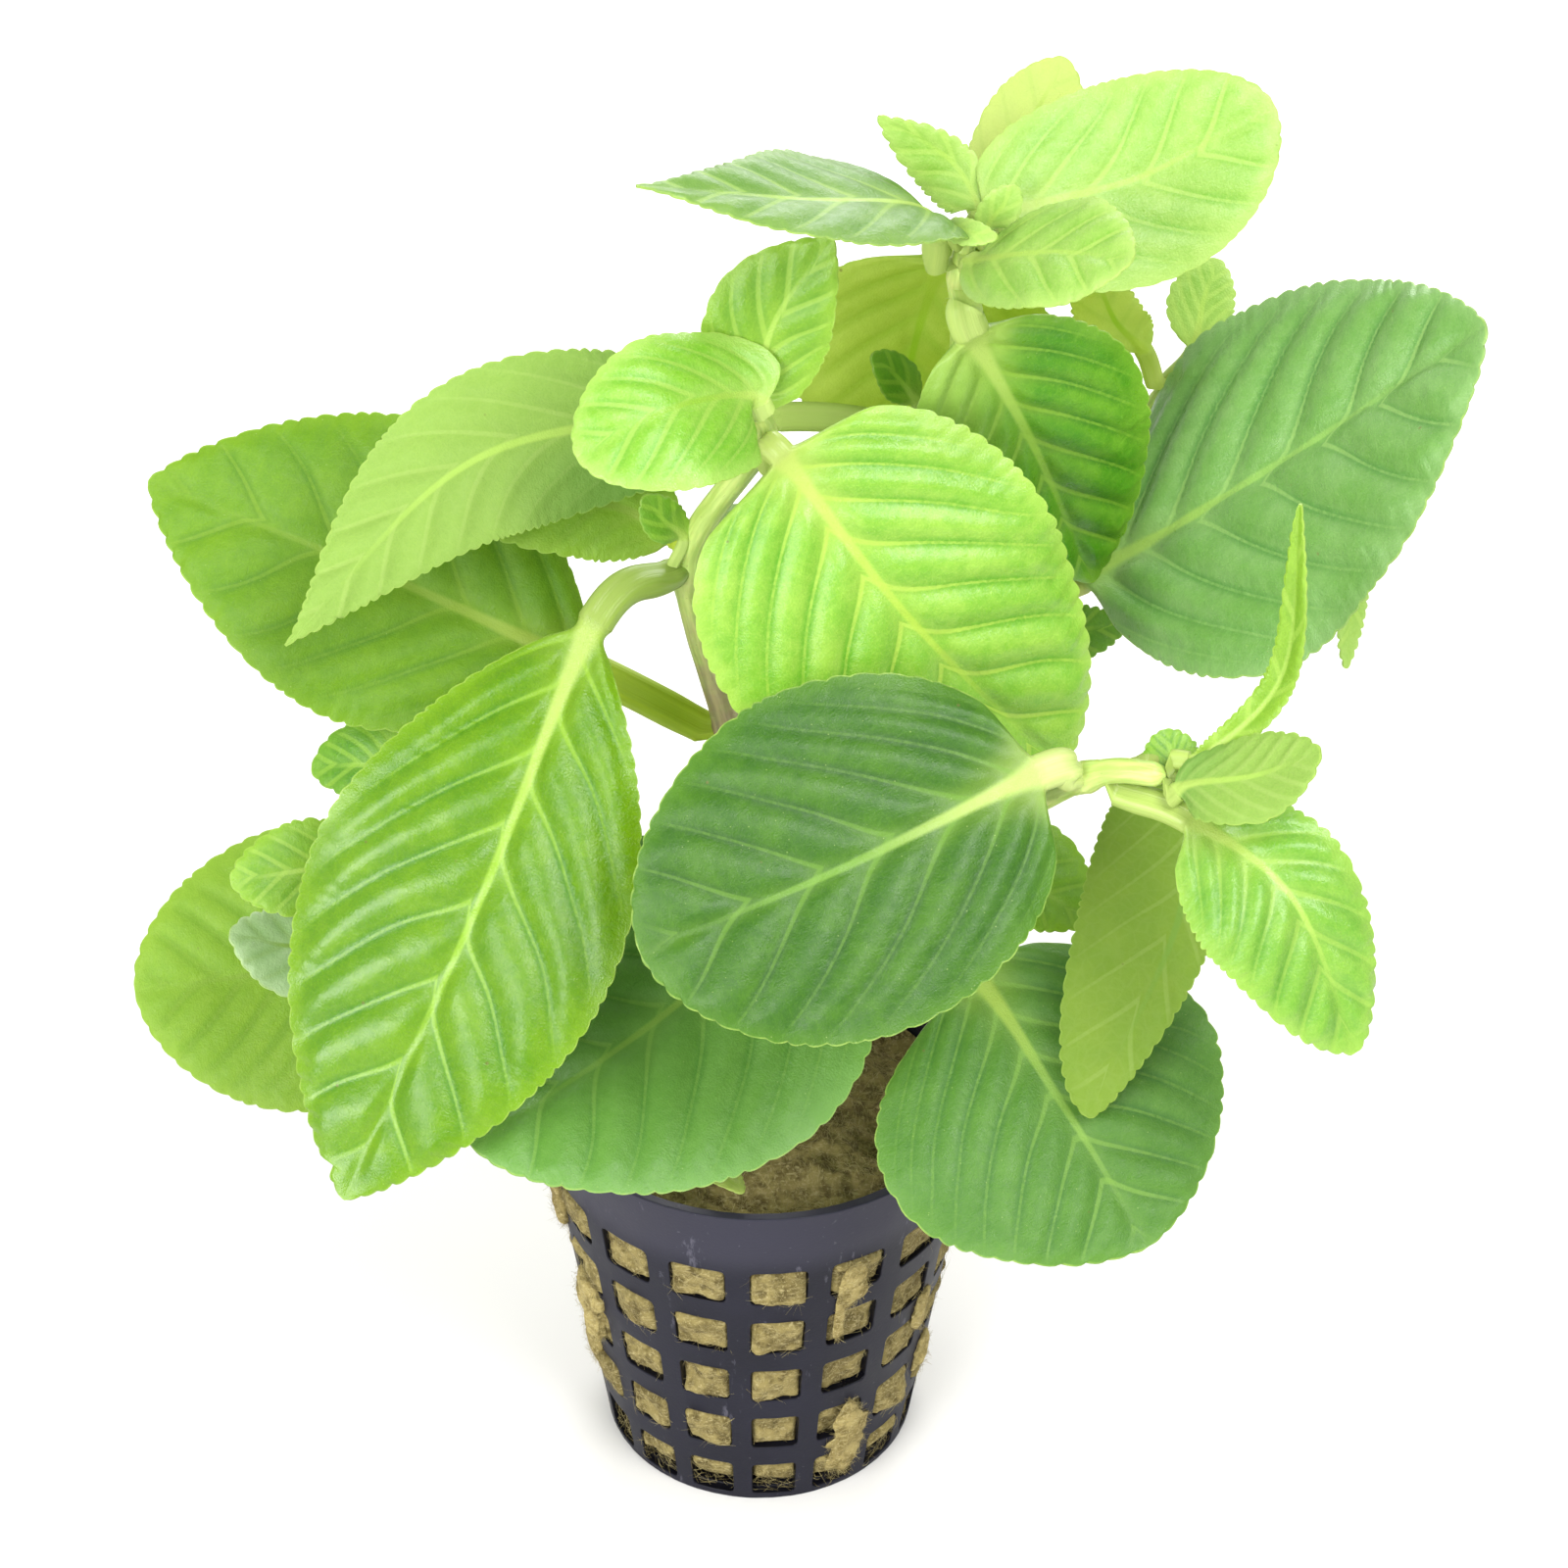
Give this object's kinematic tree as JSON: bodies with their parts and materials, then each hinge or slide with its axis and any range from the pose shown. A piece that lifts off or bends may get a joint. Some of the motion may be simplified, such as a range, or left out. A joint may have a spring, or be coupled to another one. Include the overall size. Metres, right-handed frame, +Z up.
{
  "type": "potted limnophila rugosa",
  "caption": "Leafy marsh plant with broad, ribbed, finely toothed leaves on upright stems, rooted in mineral wool inside a tapered net pot.",
  "frame": {"origin": "centre of the pot's flat underside, on the surface that the pot stands on", "axes": "+Z up along the pot's axis; -Y is the front, which the picture was taken from; +X is to the right, seen from the front"},
  "size_m": [0.1429, 0.1083, 0.1753],
  "materials": {
    "pot": "matte dark grey moulding with fine scuffs",
    "wool": "matt tan mineral fibres",
    "stem": "satin, pale green above and brownish below",
    "young_leaf": "semi-gloss, lime green",
    "leaf": "semi-gloss, mid green",
    "old_leaf": "satin, dark bluish green"
  },
  "bodies": {
    "root": {"net_pot": "pot", "wool_plug": "wool", "sprout": "young_leaf", "stem_tall": "stem", "tall_tip_left": "young_leaf", "tall_tip_right": "young_leaf", "tall_tip_front": "young_leaf", "tall_tip_rear": "young_leaf", "tall_tip_rear_left": "young_leaf", "tall_bud_upper": "young_leaf", "tall_bud_lower": "young_leaf", "tall_leaf_front": "leaf", "tall_leaf_rear": "leaf", "tall_bud_side": "leaf", "tall_leaf_left": "young_leaf", "tall_leaf_right": "old_leaf", "tall_leaf_small": "leaf", "tall_leaf_hidden": "old_leaf", "stem_left": "stem", "left_tip_front": "young_leaf", "left_tip_rear": "young_leaf", "left_leaf_front": "young_leaf", "left_leaf_side": "leaf", "left_leaf_long": "leaf", "left_bud": "leaf", "left_leaf_outer": "leaf", "left_leaf_hidden": "leaf", "stem_front": "stem", "front_leaf_broad": "old_leaf", "front_leaf_drooping": "young_leaf", "front_tip_upper": "young_leaf", "front_tip_right": "young_leaf", "front_bud": "leaf", "front_leaf_hanging": "leaf", "front_leaf_inner": "old_leaf", "front_leaf_low_right": "old_leaf", "front_leaf_low_left": "old_leaf", "stem_back": "stem", "back_tip_right": "leaf", "back_tip_left": "leaf", "back_leaf_curled": "leaf", "back_leaf_hidden": "old_leaf", "back_leaf_low": "old_leaf", "stem_low": "stem", "low_leaf_outer": "young_leaf", "low_tip_upper": "leaf", "low_tip_lower": "old_leaf", "low_tip_rear": "leaf", "low_leaf_hidden": "old_leaf"}
  },
  "joints": []
}
